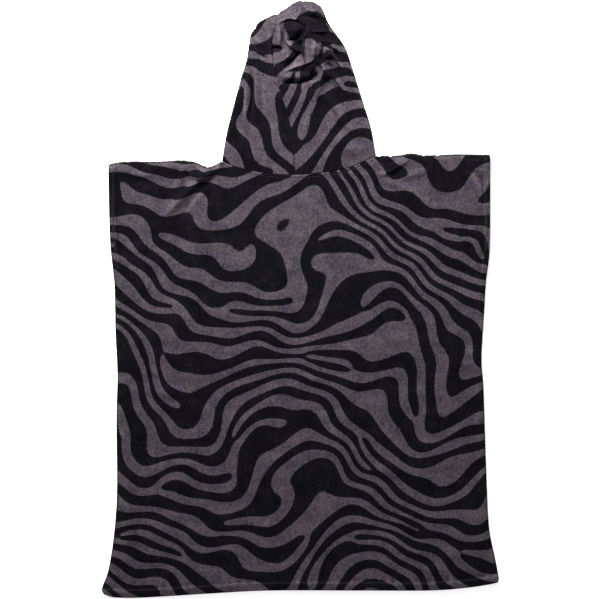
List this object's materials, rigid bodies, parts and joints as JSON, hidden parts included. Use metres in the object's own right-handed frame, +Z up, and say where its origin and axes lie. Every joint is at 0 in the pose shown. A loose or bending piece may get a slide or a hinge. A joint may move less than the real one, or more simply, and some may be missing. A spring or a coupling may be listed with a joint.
{
  "type": "hooded bath poncho",
  "caption": "Hooded bath poncho of dark velour terry, laid flat with its back up: a wide sleeveless body with turned hems and armholes, and a pointed hood with a bunched crown.",
  "frame": {"origin": "on the floor that the poncho lies on, at the middle of the whole garment's box", "axes": "+Z up; +Y from the bottom hem to the hood; +X to the right as seen from above, with the garment's back up"},
  "size_m": [0.7924, 1.1924, 0.0257],
  "materials": {
    "velour_terry": "velour pile, matt",
    "terry_inside": "looped pile, matt"
  },
  "bodies": {
    "root": {"front_panel": "velour_terry", "back_panel": "velour_terry", "hood_left": "velour_terry", "hood_right": "velour_terry", "hood_crown_tuck": "terry_inside"}
  },
  "joints": []
}
